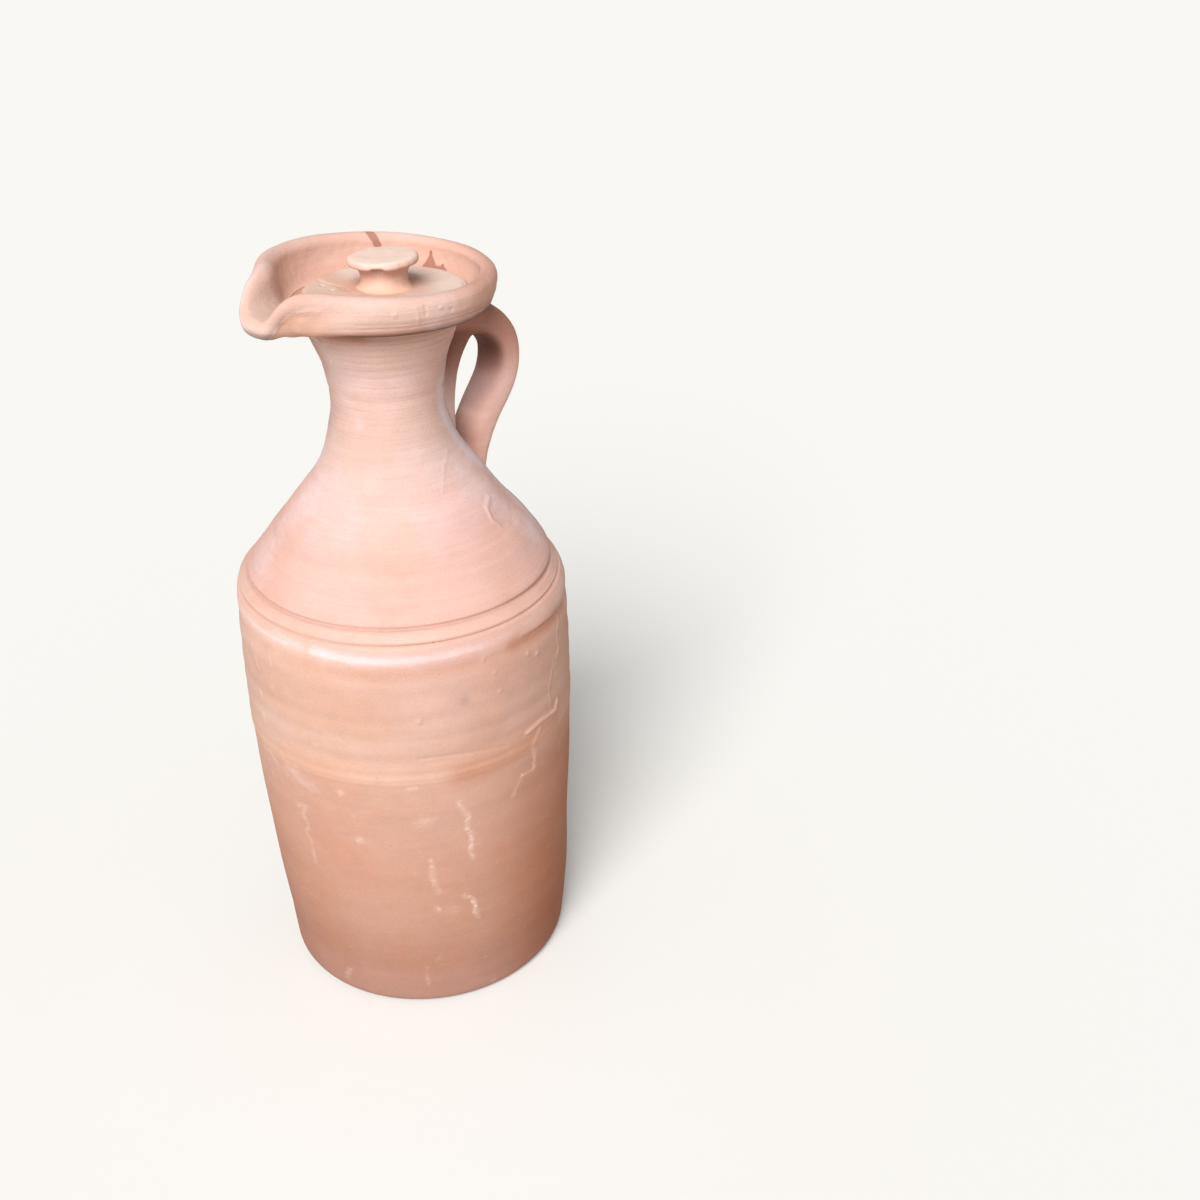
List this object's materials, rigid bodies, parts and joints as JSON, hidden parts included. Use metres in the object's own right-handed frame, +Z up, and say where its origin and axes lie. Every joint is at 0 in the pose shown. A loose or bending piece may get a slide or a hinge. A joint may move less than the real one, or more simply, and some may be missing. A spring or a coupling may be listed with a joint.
{
  "type": "lidded water jar",
  "caption": "Terracotta water jar with a cylindrical body, narrow neck, pinched pouring lip, strap handle and a loose knobbed lid.",
  "frame": {"origin": "centre of the flat foot, on the surface that the jar stands on", "axes": "+Z up along the jar's axis, +X towards the handle, -X towards the pouring lip"},
  "size_m": [0.1496, 0.1496, 0.3428],
  "materials": {
    "body_clay": "unglazed, matt, with throwing rings and lime specks",
    "shoulder_clay": "unglazed, matt, pale bloom",
    "rim_clay": "unglazed, matt",
    "handle_clay": "unglazed, matt, smoothed by hand",
    "lid_clay": "unglazed, matt, dusty",
    "knob_clay": "unglazed, matt, dusty on top"
  },
  "bodies": {
    "jar": {"jar_body": "body_clay", "shoulder_neck": "shoulder_clay", "pouring_rim": "rim_clay", "handle": "handle_clay"},
    "lid": {"lid_disc": "lid_clay", "lid_knob": "knob_clay"}
  },
  "joints": [
    {"name": "lid_lift", "type": "slide", "parent": "jar", "child": "lid", "axis": [0, 0, 1], "range_m": [0, 0.08]}
  ]
}
